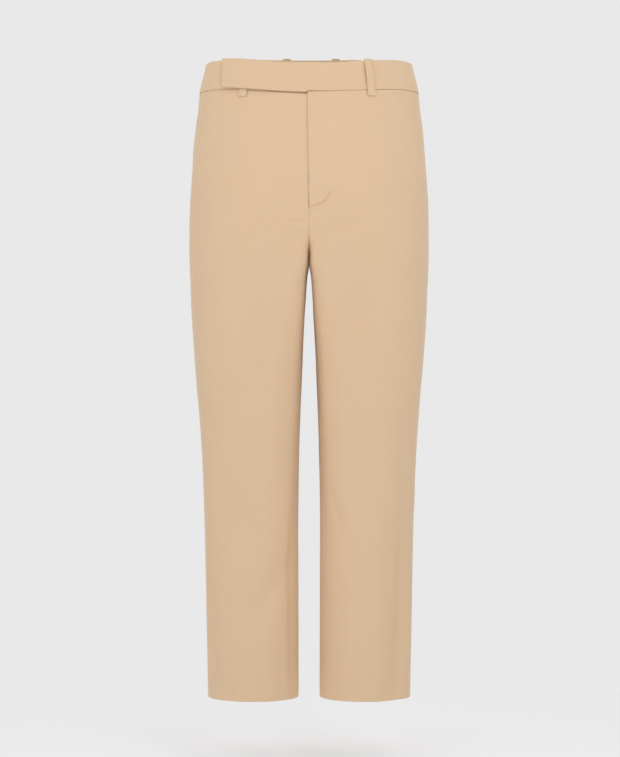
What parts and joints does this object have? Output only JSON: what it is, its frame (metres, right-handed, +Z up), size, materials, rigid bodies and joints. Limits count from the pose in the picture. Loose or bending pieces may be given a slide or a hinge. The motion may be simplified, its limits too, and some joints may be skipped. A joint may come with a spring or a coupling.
{
  "type": "wool trousers",
  "caption": "Straight cropped wool trousers with a fly front, a lapped waistband tab and belt loops, hollow and filled out as if worn; dresses the lower body from waist to ankle.",
  "frame": {"origin": "centre of the waist opening, level with the middle of the waistband at the sides, where a waist holds the garment", "axes": "+Z up through the waist, -Y to the wearer's front, +X to the wearer's left"},
  "size_m": [0.347, 0.2239, 0.9357],
  "materials": {
    "wool": "fine pressed wool twill, warm sand beige, matt with a slight nap",
    "zip_tape": "woven tape with a closed coil chain",
    "steel": "satin nickelled steel"
  },
  "bodies": {
    "root": {"front_right": "wool", "front_left": "wool", "back_right": "wool", "back_left": "wool", "waistband_right": "wool", "waistband_left": "wool", "waistband_back": "wool", "loop_front_right": "wool", "loop_front_left": "wool", "loop_back_right": "wool", "loop_back_left": "wool", "fly_facing": "wool", "fly_shield": "wool", "zip": "zip_tape", "zip_slider": "steel", "hook_plate": "steel", "bar_plate": "steel"}
  },
  "joints": []
}
